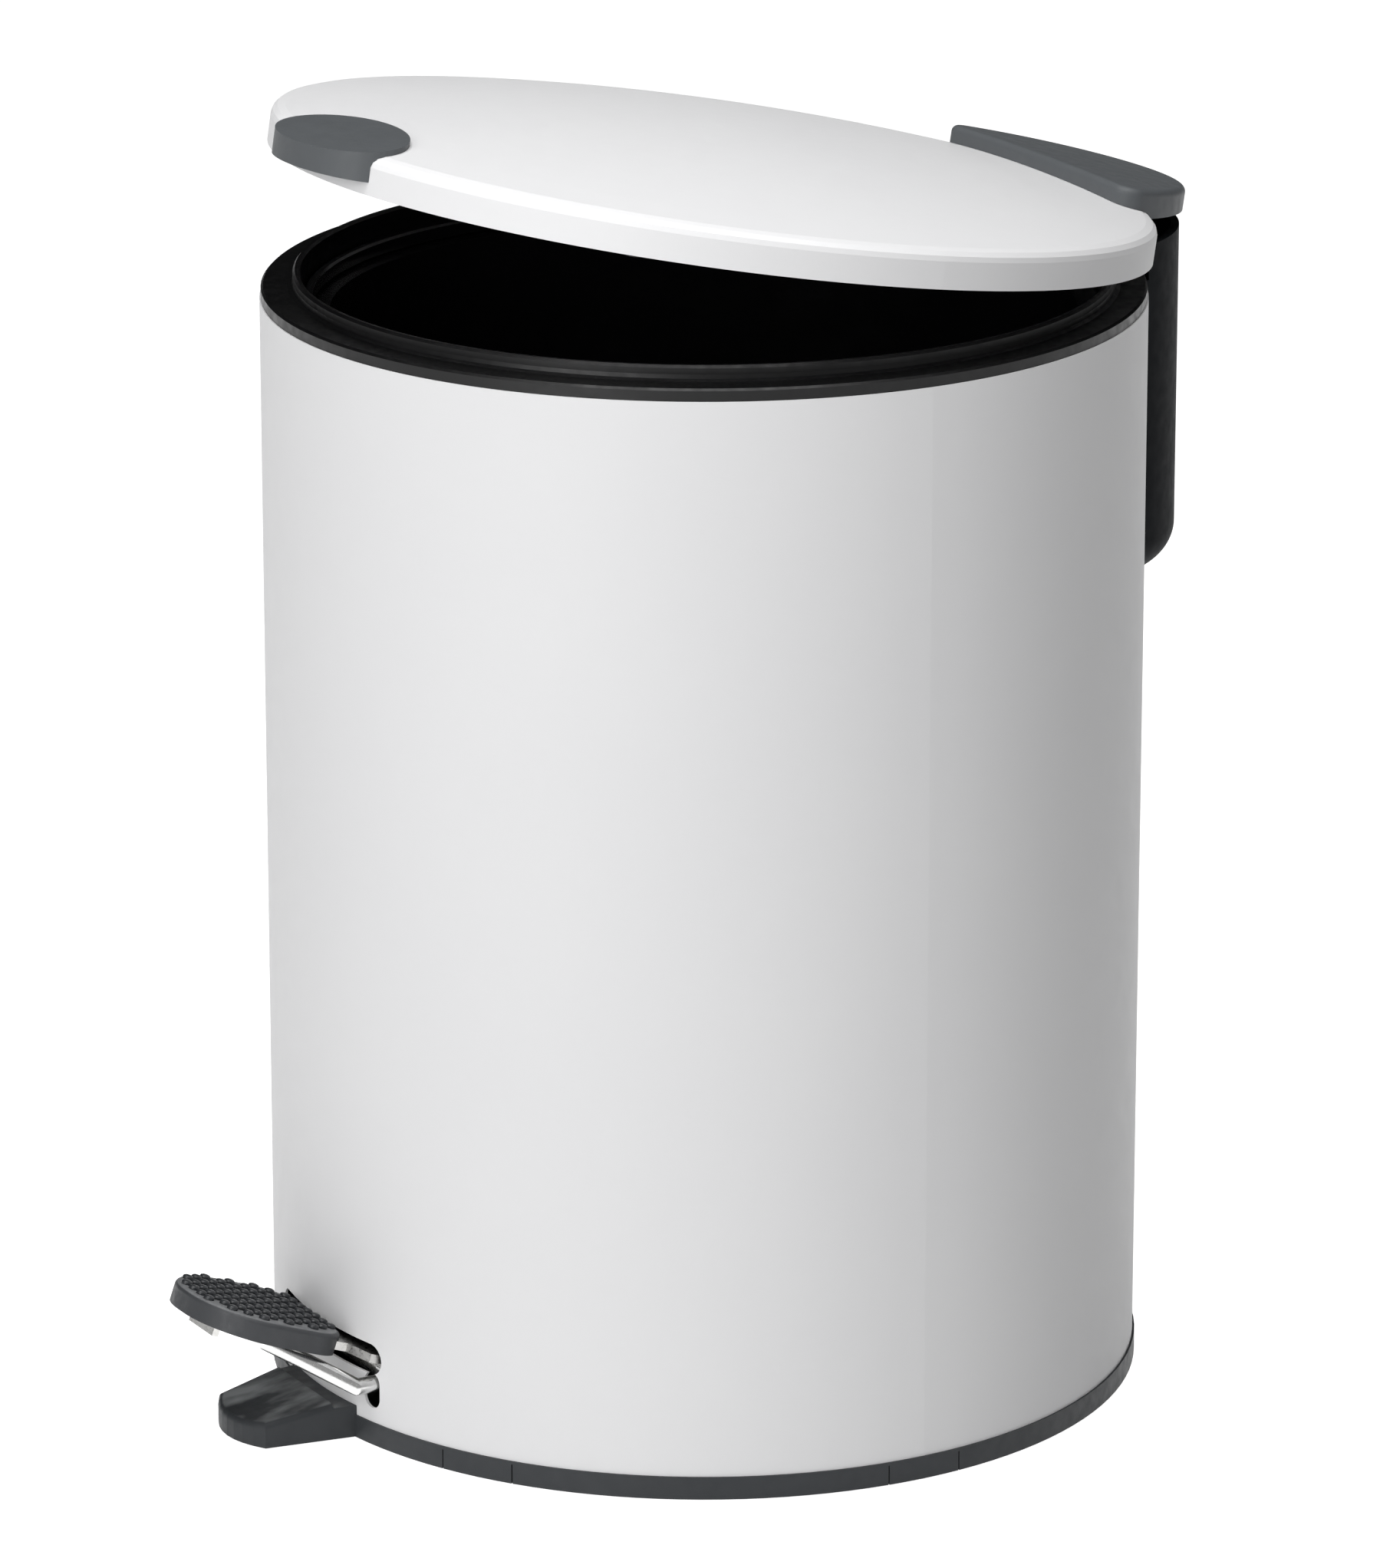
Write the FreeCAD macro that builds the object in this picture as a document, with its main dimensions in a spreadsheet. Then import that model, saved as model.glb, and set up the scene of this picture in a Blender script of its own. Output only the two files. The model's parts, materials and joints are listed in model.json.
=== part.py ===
import FreeCAD, Part
import Sketcher
import math
import os
from FreeCAD import Placement, Rotation, Vector

# Pedal bin, millimetres.  +Z is up and the floor is z = 0; the drum stands on the Z axis, the
# pedal is on the -Y side and the lid hinge on the +Y side.  The lid and the pedal are built in
# their own level poses and turned about their pivots into the pose of rest at the end.

doc = FreeCAD.newDocument("pedal_bin")
sheet = doc.addObject("Spreadsheet::Sheet", "Sizes")

SIZES = [
    ("shell_radius", 102.5, "outside radius of the steel drum"),
    ("shell_wall", 0.6, "sheet thickness of the drum"),
    ("shell_foot_z", 5.7, "height of the drum's lower edge"),
    ("shell_top_z", 258.3, "height of the drum's upper edge"),
    ("base_radius", 103.0, "outside radius of the base tray"),
    ("base_lift", 0.3, "how far the rubber feet stand below the tray"),
    ("base_ring_inner", 95.0, "inside radius of the tray's foot ring"),
    ("floor_low_z", 1.6, "underside of the tray's floor"),
    ("floor_top_z", 3.4, "top of the tray's floor"),
    ("spigot_radius", 101.6, "outside radius of the ring that centres the drum"),
    ("spigot_wall", 2.2, "thickness of that ring"),
    ("spigot_top_z", 14.5, "top of that ring"),
    ("foot_count", 6, "number of rubber feet"),
    ("foot_radius", 3.4, "radius of a rubber foot"),
    ("foot_circle", 99.0, "radius the feet stand on"),
    ("foot_depth", 1.0, "depth of the recess a foot sits in"),
    ("seam_half_angle", 5.2, "half angle between the two witness lines beside a foot"),
    ("tongue_root_half", 16.0, "half width of the stabiliser where it leaves the tray"),
    ("tongue_tip_half", 12.0, "half width of the stabiliser near its tip"),
    ("tongue_shoulder_y", 123.4, "distance of the tip corners in front of the axis"),
    ("tongue_tip_y", 127.4, "distance of the tip in front of the axis"),
    ("tongue_root_z", 9.8, "height of the stabiliser at the drum"),
    ("tongue_tip_z", 5.7, "height of the stabiliser at its tip"),
    ("tongue_round", 1.6, "rounding of the stabiliser's top edges"),
    ("collar_radius", 102.2, "outside radius of the top collar"),
    ("collar_top_z", 261.2, "height of the collar's flange"),
    ("collar_plug_radius", 101.6, "outside radius of the plug inside the drum"),
    ("collar_plug_z", 248.0, "lower end of that plug"),
    ("lip_outer", 94.8, "outside radius of the raised lip"),
    ("lip_inner", 93.1, "inside radius of the raised lip"),
    ("lip_top_z", 264.6, "top of the raised lip"),
    ("ledge_inner", 89.6, "inside radius of the ledge that carries the bucket"),
    ("ledge_low_z", 250.6, "underside of that ledge"),
    ("ledge_top_z", 252.8, "top of that ledge"),
    ("bucket_top_radius", 88.0, "outside radius of the bucket below its rim"),
    ("bucket_foot_radius", 80.0, "outside radius of the bucket at its bottom"),
    ("bucket_wall", 1.6, "thickness of the bucket"),
    ("bucket_foot_z", 36.0, "underside of the bucket"),
    ("rim_radius", 92.5, "outside radius of the bucket's rim"),
    ("rim_top_z", 254.8, "top of the bucket's rim"),
    ("notch_half", 9.0, "half width of the finger notch in the rim"),
    ("handle_outer", 92.4, "outside radius of the carrying handle"),
    ("handle_inner", 90.2, "inside radius of the carrying handle"),
    ("handle_low_z", 255.2, "underside of the carrying handle"),
    ("handle_height", 3.6, "depth of the carrying handle"),
    ("handle_pin_radius", 1.2, "radius of the handle's pivot pins"),
    ("hinge_y", 114.0, "distance of the hinge axis behind the drum's axis"),
    ("hinge_z", 260.0, "height of the hinge axis"),
    ("hinge_pin_radius", 1.5, "radius of the hinge pin"),
    ("knuckle_radius", 4.4, "radius of the hinge knuckles"),
    ("lid_radius", 102.8, "outside radius of the lid"),
    ("lid_wall", 0.7, "sheet thickness of the lid"),
    ("lid_low_z", 262.3, "lower edge of the shut lid"),
    ("lid_shoulder_z", 268.6, "height where the lid's side starts to turn in"),
    ("lid_edge_z", 271.3, "height where the lid's dome starts"),
    ("lid_edge_round", 3.0, "how far the lid's shoulder turns in"),
    ("lid_crown", 8.0, "rise of the dome above its edge"),
    ("lid_open_rest", 9.1, "angle the lid stands open at rest"),
    ("liner_radius", 99.0, "outside radius of the liner under the lid"),
    ("liner_low_z", 266.8, "underside of the liner"),
    ("liner_wall", 1.6, "thickness of the liner"),
    ("tab_half_width", 21.0, "half width of the thumb tab"),
    ("tab_half_depth", 13.0, "half depth of the thumb tab"),
    ("tab_centre_y", 97.8, "distance of the tab's centre in front of the axis"),
    ("tab_proud", 1.3, "how far the tab stands above the lid"),
    ("tab_low_z", 265.2, "underside of the tab outside the lid"),
    ("cover_radius", 41.5, "radius of the hinge cover's back"),
    ("cover_centre_y", 80.0, "distance of that radius' centre behind the axis"),
    ("cover_front_y", 86.0, "distance of the cover's straight front behind the axis"),
    ("cover_crown_z", 279.9, "height the cover's curved top would reach over the drum's axis"),
    ("cover_curve", 1344.0, "radius of the cover's curved top"),
    ("cover_low_z", 269.3, "lower edge of the hinge cover"),
    ("cover_wall", 2.0, "wall thickness of the hinge cover"),
    ("housing_radius", 42.0, "outside radius of the rear housing"),
    ("housing_wall", 2.0, "wall thickness of the rear housing"),
    ("housing_low_z", 185.0, "lower end of the rear housing"),
    ("housing_top_z", 265.8, "top of the rear housing"),
    ("housing_round", 9.0, "rounding of the housing's lower edge"),
    ("crank_radius", 8.0, "distance of the crank pin from the hinge axis"),
    ("crank_pin_radius", 1.3, "radius of the crank pin"),
    ("lid_travel", 79.1, "whole swing of the lid"),
    ("wire_radius", 2.0, "radius of the bent steel rods"),
    ("lift_inner_y", 97.0, "distance of the lift rod inside the drum"),
    ("lift_outer_y", 107.0, "distance of the lift rod inside the housing"),
    ("lift_jog_z", 200.0, "height where the lift rod steps outward"),
    ("lift_top_z", 250.0, "upper end of the lift rod"),
    ("strap_half", 6.0, "half width of the lift strap"),
    ("strap_wall", 2.0, "thickness of the lift strap"),
    ("pivot_y", 95.0, "distance of the pedal's axle in front of the axis"),
    ("pivot_z", 17.2, "height of the pedal's axle"),
    ("axle_radius", 1.5, "radius of the pedal's axle"),
    ("pedal_tilt", 20.0, "angle the pedal slopes up at rest"),
    ("plate_half", 23.2, "half width of the pedal's steel plate in the drum's slot"),
    ("plate_neck", 16.6, "half width of that plate inside the pad"),
    ("plate_wall", 2.0, "thickness of the pedal's steel plate"),
    ("plate_rise", 1.5, "underside of the plate above the axle"),
    ("plate_reach", 44.2, "reach of the plate outward from the axle"),
    ("arm_reach", 19.7, "reach of the inner arm behind the axle"),
    ("pad_half_width", 19.0, "half width of the pedal's pad"),
    ("pad_near", 11.5, "distance of the pad's inner edge from the axle"),
    ("pad_far", 46.6, "distance of the pad's outer edge from the axle"),
    ("pad_wall", 2.0, "thickness of the pad's side wall"),
    ("pad_top", 5.3, "top of the pad above the axle"),
    ("pad_low", 0.1, "lower edge of the pad above the axle"),
    ("rod_leg_x", 21.2, "distance of the rod's legs from the middle"),
    ("rod_leg_z", 15.0, "height of the rod's legs at the drum"),
    ("rod_cross_x", 11.0, "half length of the rod's cross bar"),
    ("rod_cross_y", 122.5, "distance of the rod's cross bar in front of the axis"),
]

for row, (alias, number, note) in enumerate(SIZES, start=1):
    sheet.set("A%d" % row, alias)
    sheet.set("B%d" % row, str(number))
    sheet.setAlias("B%d" % row, alias)
    sheet.set("C%d" % row, note)
doc.recompute()


class Size:
    """A number together with the sheet formula it comes from."""

    def __init__(self, value, text):
        self.value = float(value)
        self.text = text

    def __add__(self, other):
        other = as_size(other)
        return Size(self.value + other.value, "(%s + %s)" % (self.text, other.text))

    def __sub__(self, other):
        other = as_size(other)
        return Size(self.value - other.value, "(%s - %s)" % (self.text, other.text))

    def __mul__(self, other):
        other = as_size(other)
        return Size(self.value * other.value, "(%s * %s)" % (self.text, other.text))

    def __neg__(self):
        return Size(-self.value, "(0 - %s)" % self.text)

    __radd__ = __add__

    def __rsub__(self, other):
        return as_size(other) - self


def as_size(number):
    return number if isinstance(number, Size) else Size(number, repr(float(number)))


def named(alias):
    return Size(sheet.get(alias), "Sizes." + alias)


class Names:
    def __getattr__(self, alias):
        return named(alias)


S = Names()


def bind(thing, prop, size):
    size = as_size(size)
    if "Sizes." in size.text:
        thing.setExpression(prop, size.text)


def put(thing, x, y, z, rotation=None):
    x, y, z = as_size(x), as_size(y), as_size(z)
    thing.Placement = Placement(Vector(x.value, y.value, z.value), rotation or Rotation())
    bind(thing, "Placement.Base.x", x)
    bind(thing, "Placement.Base.y", y)
    bind(thing, "Placement.Base.z", z)
    return thing


def box(label, x0, x1, y0, y1, z0, z1):
    block = doc.addObject("Part::Box", label)
    spans = (as_size(x1) - x0, as_size(y1) - y0, as_size(z1) - z0)
    for prop, span in zip(("Length", "Width", "Height"), spans):
        setattr(block, prop, span.value)
        bind(block, prop, span)
    return put(block, x0, y0, z0)


TURN = {"Z": Rotation(), "X": Rotation(Vector(0, 1, 0), 90), "Y": Rotation(Vector(1, 0, 0), -90)}


def rod(label, radius, length, x, y, z, along="Z", spin=0.0):
    """A round bar starting at x, y, z; spin turns a bar along Y about the vertical."""
    bar = doc.addObject("Part::Cylinder", label)
    radius, length = as_size(radius), as_size(length)
    bar.Radius = radius.value
    bar.Height = length.value
    bind(bar, "Radius", radius)
    bind(bar, "Height", length)
    turn = TURN[along]
    if spin:
        turn = Rotation(Vector(0, 0, 1), spin).multiply(turn)
    return put(bar, x, y, z, turn)


def ball(label, radius, x, y, z):
    knob = doc.addObject("Part::Sphere", label)
    radius = as_size(radius)
    knob.Radius = radius.value
    bind(knob, "Radius", radius)
    return put(knob, x, y, z)


def cut(label, body, tool):
    result = doc.addObject("Part::Cut", label)
    result.Base = body
    result.Tool = tool
    return result


def fuse(label, pieces):
    result = doc.addObject("Part::MultiFuse", label)
    result.Shapes = pieces
    result.Refine = True
    return result


def common(label, pieces):
    result = doc.addObject("Part::MultiCommon", label)
    result.Shapes = pieces
    return result


def group(label, pieces):
    result = doc.addObject("Part::Compound", label)
    result.Links = pieces
    return result


def sketch_in(body, label, plane, outlines):
    """Closed outlines of straight sides whose corners are all driven by the sheet."""
    sketch = body.newObject("Sketcher::SketchObject", label)
    role = [f for f in body.Origin.OriginFeatures if f.Role == plane][0]
    sketch.AttachmentSupport = [(role, "")]
    sketch.MapMode = "FlatFace"
    for outline in outlines:
        corners = [(as_size(a), as_size(b)) for a, b in outline]
        first = sketch.GeometryCount
        count = len(corners)
        for i in range(count):
            a, b = corners[i], corners[(i + 1) % count]
            start = Vector(a[0].value, a[1].value, 0)
            end = Vector(b[0].value, b[1].value, 0)
            sketch.addGeometry(Part.LineSegment(start, end), False)
        for i in range(count):
            nxt = first + (i + 1) % count
            sketch.addConstraint(Sketcher.Constraint("Coincident", first + i, 2, nxt, 1))
        for i, corner in enumerate(corners):
            for kind, size in zip(("DistanceX", "DistanceY"), corner):
                pin = Sketcher.Constraint(kind, -1, 1, first + i, 1, size.value)
                index = sketch.addConstraint(pin)
                bind(sketch, "Constraints[%d]" % index, size)
    return sketch


def turned(label, outline):
    """A body of revolution about the Z axis from (radius, height) corners."""
    body = doc.addObject("PartDesign::Body", label)
    sketch = sketch_in(body, label + "_outline", "XZ_Plane", [outline])
    spin = body.newObject("PartDesign::Revolution", label + "_turn")
    spin.Profile = sketch
    spin.ReferenceAxis = (sketch, ["V_Axis"])
    spin.Angle = 360.0
    return body


def slab(label, outline, low, high):
    """A body raised from an (x, y) outline between two heights."""
    body = doc.addObject("PartDesign::Body", label)
    sketch = sketch_in(body, label + "_outline", "XY_Plane", [outline])
    pad = body.newObject("PartDesign::Pad", label + "_pad")
    pad.Profile = sketch
    span = as_size(high) - low
    pad.Length = span.value
    bind(pad, "Length", span)
    put(body, 0, 0, low)
    return body


def oval(label, half_x, half_y, x, y, low, high):
    """An upright elliptic prism."""
    half_x, half_y, low, high = as_size(half_x), as_size(half_y), as_size(low), as_size(high)
    disc = doc.addObject("Part::Ellipse", label + "_edge")
    disc.MajorRadius = half_x.value
    disc.MinorRadius = half_y.value
    bind(disc, "MajorRadius", half_x)
    bind(disc, "MinorRadius", half_y)
    put(disc, x, y, low)
    prism = doc.addObject("Part::Extrusion", label)
    prism.Base = disc
    prism.Dir = Vector(0, 0, 1)
    prism.DirMode = "Custom"
    prism.LengthFwd = (high - low).value
    bind(prism, "LengthFwd", high - low)
    prism.Solid = True
    return prism


def rounded(label, thing, radius, wanted):
    """Round every edge of a finished piece that the test picks."""
    doc.recompute()
    picked = [i for i, edge in enumerate(thing.Shape.Edges, start=1) if wanted(edge)]
    fillet = doc.addObject("Part::Fillet", label)
    fillet.Base = thing
    fillet.Edges = [(i, radius, radius) for i in picked]
    return fillet


def bent_rod(label, radius, points):
    """A bent round rod: straight lengths joined by ball elbows."""
    pieces = []
    for i, (start, end) in enumerate(zip(points, points[1:])):
        a, b = Vector(*start), Vector(*end)
        bar = doc.addObject("Part::Cylinder", "%s_length%d" % (label, i))
        bar.Radius = radius.value
        bind(bar, "Radius", radius)
        bar.Height = (b - a).Length
        bar.Placement = Placement(a, Rotation(Vector(0, 0, 1), b - a))
        pieces.append(bar)
    for i, corner in enumerate(points[1:-1]):
        pieces.append(ball("%s_elbow%d" % (label, i), radius, *corner))
    return pieces


def dome_outline(offset, edge_radius, steps=10):
    """Corners of the lid's dome raised by an offset, from the middle out to a radius."""
    corners = []
    reach = (S.lid_radius - S.lid_edge_round).value
    for i in range(steps + 1):
        radius = edge_radius * i / steps
        drop = (radius / reach) ** 2
        corners.append((radius, S.lid_edge_z + S.lid_crown * (1.0 - drop) + offset))
    return corners


NODES = {}


def node(name, thing):
    thing.Label = name
    NODES[name] = thing
    return thing


# ---------------------------------------------------------------- base tray
tray = turned("tray_blank", [
    (0.0, S.floor_low_z), (S.base_ring_inner, S.floor_low_z), (S.base_ring_inner, S.base_lift),
    (S.base_radius, S.base_lift), (S.base_radius, S.shell_foot_z),
    (S.spigot_radius, S.shell_foot_z), (S.spigot_radius, S.spigot_top_z),
    (S.spigot_radius - S.spigot_wall, S.spigot_top_z),
    (S.spigot_radius - S.spigot_wall, S.floor_top_z), (0.0, S.floor_top_z)])
tongue_front = [(S.tongue_tip_half * t, -S.tongue_tip_y + (S.tongue_tip_y - S.tongue_shoulder_y) * t * t)
                for t in (-1.0, -0.75, -0.5, -0.25, 0.0, 0.25, 0.5, 0.75, 1.0)]
tongue_plan = slab("stabiliser_plan", [(-S.tongue_root_half, -98.0)] + tongue_front
                   + [(S.tongue_root_half, -98.0)], S.base_lift, S.tongue_root_z + 2.0)
slope = math.degrees(math.atan2((S.tongue_root_z - S.tongue_tip_z).value, S.tongue_tip_y.value - 102.0))
above = box("stabiliser_above", -40.0, 40.0, -60.0, 10.0, 0.0, 20.0)
above.Placement = Placement(Vector(0, -102, S.tongue_root_z.value),
                            Rotation(Vector(1, 0, 0), slope)).multiply(above.Placement)
inside = rod("stabiliser_inside", S.base_radius - 0.4, 60.0, 0, 0, -10.0)
tongue_raw = cut("stabiliser_raw", cut("stabiliser_sloped", tongue_plan, above), inside)


def tongue_edge(edge):
    low = min(v.Point.z for v in edge.Vertexes)
    outer = max(math.hypot(v.Point.x, v.Point.y) for v in edge.Vertexes)
    return low > 4.0 and outer > 110.0


tongue = rounded("stabiliser", tongue_raw, S.tongue_round.value, tongue_edge)
lugs = []
for side in (-1, 1):
    x0 = 23.6 if side > 0 else -26.2
    lugs.append(box("axle_lug%d" % side, x0, x0 + 2.6, -S.pivot_y - 2.9, -S.pivot_y + 4.0,
                    S.floor_top_z - 0.5, S.pivot_z + 3.6))
guide_tower = box("guide_tower", -5.0, 5.0, S.lift_inner_y - 4.0, S.lift_inner_y + 2.6,
                  S.floor_top_z - 0.5, 11.0)
tray_solid = fuse("tray_solid", [tray, tongue, guide_tower] + lugs)
tray_tools = [
    box("pedal_gap", -23.5, 23.5, -S.pivot_y - 12.0, -S.pivot_y + 6.0, 8.0, S.spigot_top_z + 5.0),
    rod("axle_bore", S.axle_radius + 0.05, 60.0, -30.0, -S.pivot_y, S.pivot_z, "X"),
    rod("guide_bore", S.wire_radius + 0.05, 12.0, 0, S.lift_inner_y, S.floor_top_z),
]
feet = []
for i in range(int(S.foot_count.value)):
    angle = 30.0 + 360.0 * i / S.foot_count.value
    across, along = math.sin(math.radians(angle)), -math.cos(math.radians(angle))
    tray_tools.append(rod("foot_recess%d" % i, S.foot_radius + 0.05, S.foot_depth + 1.0,
                          S.foot_circle * across, S.foot_circle * along, S.base_lift - 1.0))
    feet.append(rod("foot%d" % i, S.foot_radius, S.base_lift + S.foot_depth,
                    S.foot_circle * across, S.foot_circle * along, 0.0))
    for side in (-1, 1):
        seam_angle = angle + side * S.seam_half_angle.value
        line = box("witness_line%d_%d" % (i, side), -0.15, 0.15, -0.25, 2.0, 0.0, 5.0)
        turn = Rotation(Vector(0, 0, 1), seam_angle)
        away = turn.multVec(Vector(-0.15, -S.base_radius.value - 1.75, 0))
        line.Placement = Placement(Vector(away.x, away.y, 0.0), turn)
        for axis in "xyz":
            line.setExpression("Placement.Base." + axis, None)
        tray_tools.append(line)
node("base_tray", cut("base_tray", tray_solid, group("tray_tools", tray_tools)))
node("rubber_feet", group("rubber_feet", feet))

# ---------------------------------------------------------------- drum
drum = turned("drum_blank", [
    (S.shell_radius - S.shell_wall, S.shell_foot_z), (S.shell_radius, S.shell_foot_z),
    (S.shell_radius, S.shell_top_z), (S.shell_radius - S.shell_wall, S.shell_top_z)])
slot_z = 21.1
slot_half = 3.7
drum_tools = [
    box("plate_slot", -20.8, 20.8, -S.shell_radius - 5.0, -90.0, slot_z - slot_half, slot_z + slot_half),
    box("lift_window", -3.0, 3.0, 95.0, 106.0, S.lift_jog_z - 4.6, S.lift_jog_z + 12.4),
]
for side in (-1, 1):
    drum_tools.append(rod("plate_slot_end%d" % side, slot_half, 20.0, side * 20.8, -110.0, slot_z, "Y"))
    drum_tools.append(rod("rod_hole_top%d" % side, 2.65, 20.0, S.rod_leg_x * side, -110.0,
                          S.rod_leg_z + 0.25, "Y"))
    drum_tools.append(rod("rod_hole_foot%d" % side, 2.65, 20.0, S.rod_leg_x * side, -110.0,
                          S.rod_leg_z - 3.2, "Y"))
    x0 = S.rod_leg_x * side - 2.65
    drum_tools.append(box("rod_hole_mid%d" % side, x0, x0 + 5.3, -110.0, -90.0,
                          S.rod_leg_z - 3.2, S.rod_leg_z + 0.25))
SCREW_SPOTS = [(turn, height) for turn in (-16.0, 16.0) for height in (203.0, 240.0)]
for i, (turn, height) in enumerate(SCREW_SPOTS):
    spot = Rotation(Vector(0, 0, 1), turn).multVec(Vector(0, 95, 0))
    drum_tools.append(rod("drum_screw_hole%d" % i, 1.7, 12.0, spot.x, spot.y, height, "Y", turn))
node("outer_shell", cut("outer_shell", drum, group("drum_tools", drum_tools)))

# ---------------------------------------------------------------- collar
node("top_collar", turned("top_collar", [
    (S.ledge_inner, S.ledge_low_z), (S.lip_outer, S.ledge_low_z), (S.lip_outer, S.shell_top_z),
    (S.collar_plug_radius - 1.8, S.shell_top_z), (S.collar_plug_radius - 1.8, S.collar_plug_z),
    (S.collar_plug_radius, S.collar_plug_z), (S.collar_plug_radius, S.shell_top_z),
    (S.collar_radius, S.shell_top_z), (S.collar_radius, S.collar_top_z - 0.5),
    (S.collar_radius - 0.5, S.collar_top_z), (S.lip_outer + 1.2, S.collar_top_z),
    (S.lip_outer + 0.25, S.collar_top_z + 0.5), (S.lip_outer, S.collar_top_z + 1.4),
    (S.lip_outer, S.lip_top_z - 0.6), (S.lip_outer - 0.5, S.lip_top_z), (S.lip_inner + 0.5, S.lip_top_z),
    (S.lip_inner, S.lip_top_z - 0.6), (S.lip_inner, S.ledge_top_z), (S.ledge_inner, S.ledge_top_z)]))

# ---------------------------------------------------------------- bucket and its handle
top_r = S.bucket_top_radius
foot_r = S.bucket_foot_radius
wall = S.bucket_wall
bucket_blank = turned("bucket_blank", [
    (0.0, S.bucket_foot_z), (foot_r - 5.0, S.bucket_foot_z), (foot_r - 1.4, S.bucket_foot_z + 1.5),
    (foot_r, S.bucket_foot_z + 5.0), (top_r, S.ledge_top_z), (S.rim_radius, S.ledge_top_z),
    (S.rim_radius, S.rim_top_z), (top_r - wall, S.rim_top_z), (foot_r - wall, S.bucket_foot_z + 6.0),
    (foot_r - wall - 2.5, S.bucket_foot_z + 2.6), (foot_r - wall - 5.5, S.bucket_foot_z + wall),
    (0.0, S.bucket_foot_z + wall)])
pin_z = S.handle_low_z + S.handle_height * 0.5
ears = []
for side in (-1, 1):
    x0 = -89.7 if side < 0 else 88.2
    ears.append(box("bucket_ear%d" % side, x0, x0 + 1.5, -4.5, 4.5, S.ledge_top_z + 0.5, pin_z + 2.6))
bucket_solid = fuse("bucket_solid", [bucket_blank] + ears)
bucket_tools = [rod("ear_bore", S.handle_pin_radius + 0.05, 190.0, -95.0, 0, pin_z, "X")]
notch = box("finger_notch", -S.notch_half, S.notch_half, 88.4, 96.0, S.ledge_top_z - 1.0, S.rim_top_z + 1.0)
notch.Placement = Placement(Vector(), Rotation(Vector(0, 0, 1), 152)).multiply(notch.Placement)
for axis in "xyz":
    notch.setExpression("Placement.Base." + axis, None)
bucket_tools.append(notch)
node("bucket", cut("bucket", bucket_solid, group("bucket_tools", bucket_tools)))
handle_ring = turned("handle_ring", [
    (S.handle_inner, S.handle_low_z + 0.4), (S.handle_inner + 0.4, S.handle_low_z),
    (S.handle_outer - 0.4, S.handle_low_z), (S.handle_outer, S.handle_low_z + 0.4),
    (S.handle_outer, S.handle_low_z + S.handle_height - 0.5),
    (S.handle_outer - 0.5, S.handle_low_z + S.handle_height),
    (S.handle_inner + 0.5, S.handle_low_z + S.handle_height),
    (S.handle_inner, S.handle_low_z + S.handle_height - 0.5)])
front_half = box("handle_front", -100.0, 100.0, -100.0, 0.0, 240.0, 270.0)
handle_parts = [common("handle_bow", [handle_ring, front_half])]
for side in (-1, 1):
    x_boss = S.handle_inner if side > 0 else -S.handle_outer
    handle_parts.append(rod("handle_boss%d" % side, S.handle_height * 0.5 + 0.2,
                            S.handle_outer - S.handle_inner, x_boss, 0, pin_z, "X"))
    x_pin = 88.0 if side > 0 else -91.0
    handle_parts.append(rod("handle_pin%d" % side, S.handle_pin_radius, 3.0, x_pin, 0, pin_z, "X"))
node("bucket_handle", fuse("bucket_handle", handle_parts))

# ---------------------------------------------------------------- lid
reach = S.lid_radius - S.lid_edge_round
lid_side = [
    (S.lid_radius, S.lid_low_z), (S.lid_radius, S.lid_shoulder_z),
    (S.lid_radius - 0.35, S.lid_shoulder_z + 1.15), (S.lid_radius - 1.3, S.lid_shoulder_z + 2.1)]
dome = dome_outline(0.0, reach.value)
dome_in = dome_outline(-S.lid_wall, reach.value - 0.8)
inner_side = [
    (S.lid_radius - S.lid_wall - 1.2, S.lid_shoulder_z + 1.5),
    (S.lid_radius - S.lid_wall - 0.3, S.lid_shoulder_z + 0.8),
    (S.lid_radius - S.lid_wall, S.lid_shoulder_z), (S.lid_radius - S.lid_wall, S.lid_low_z)]
lid_blank = turned("lid_blank", dome_in + inner_side + lid_side + dome[::-1])
HAIR = 0.05
lid_bulk = turned("lid_bulk", [(0.0, S.lid_low_z - 2.0), (S.lid_radius + HAIR, S.lid_low_z - 2.0)]
                  + [(r + HAIR, h + HAIR) for r, h in lid_side[1:]] + dome_outline(HAIR, reach.value)[::-1])
ARM_SCREWS = [(-22.0, 94.0), (22.0, 94.0)]
TAB_SCREWS = [(-11.0, -93.0), (11.0, -93.0)]
lid_tools = [box("lid_notch", -10.0, 10.0, 98.0, 106.0, S.lid_low_z - 1.0, S.lid_shoulder_z - 0.2)]
for i, (x, y) in enumerate(ARM_SCREWS + TAB_SCREWS):
    lid_tools.append(rod("lid_screw_hole%d" % i, 1.7, 20.0, x, y, S.lid_low_z))
lid = node("lid_shell", cut("lid_shell", lid_blank, group("lid_tools", lid_tools)))

liner_blank = turned("liner_blank", [
    (0.0, S.liner_low_z), (S.liner_radius, S.liner_low_z), (S.liner_radius, S.lid_edge_z - 0.9),
    (S.liner_radius - 1.6, S.lid_edge_z - 0.7), (S.liner_radius - 1.6, S.liner_low_z + S.liner_wall),
    (0.0, S.liner_low_z + S.liner_wall)])
liner_tools = [box("liner_gap", -31.0, 31.0, 82.0, 110.0, S.liner_low_z - 1.0, S.lid_edge_z + 8.0)]
for i, (x, y) in enumerate(TAB_SCREWS):
    liner_tools.append(rod("liner_screw_hole%d" % i, 3.2, 10.0, x, y, S.liner_low_z - 1.0))
liner = node("lid_liner", cut("lid_liner", liner_blank, group("liner_tools", liner_tools)))

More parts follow.
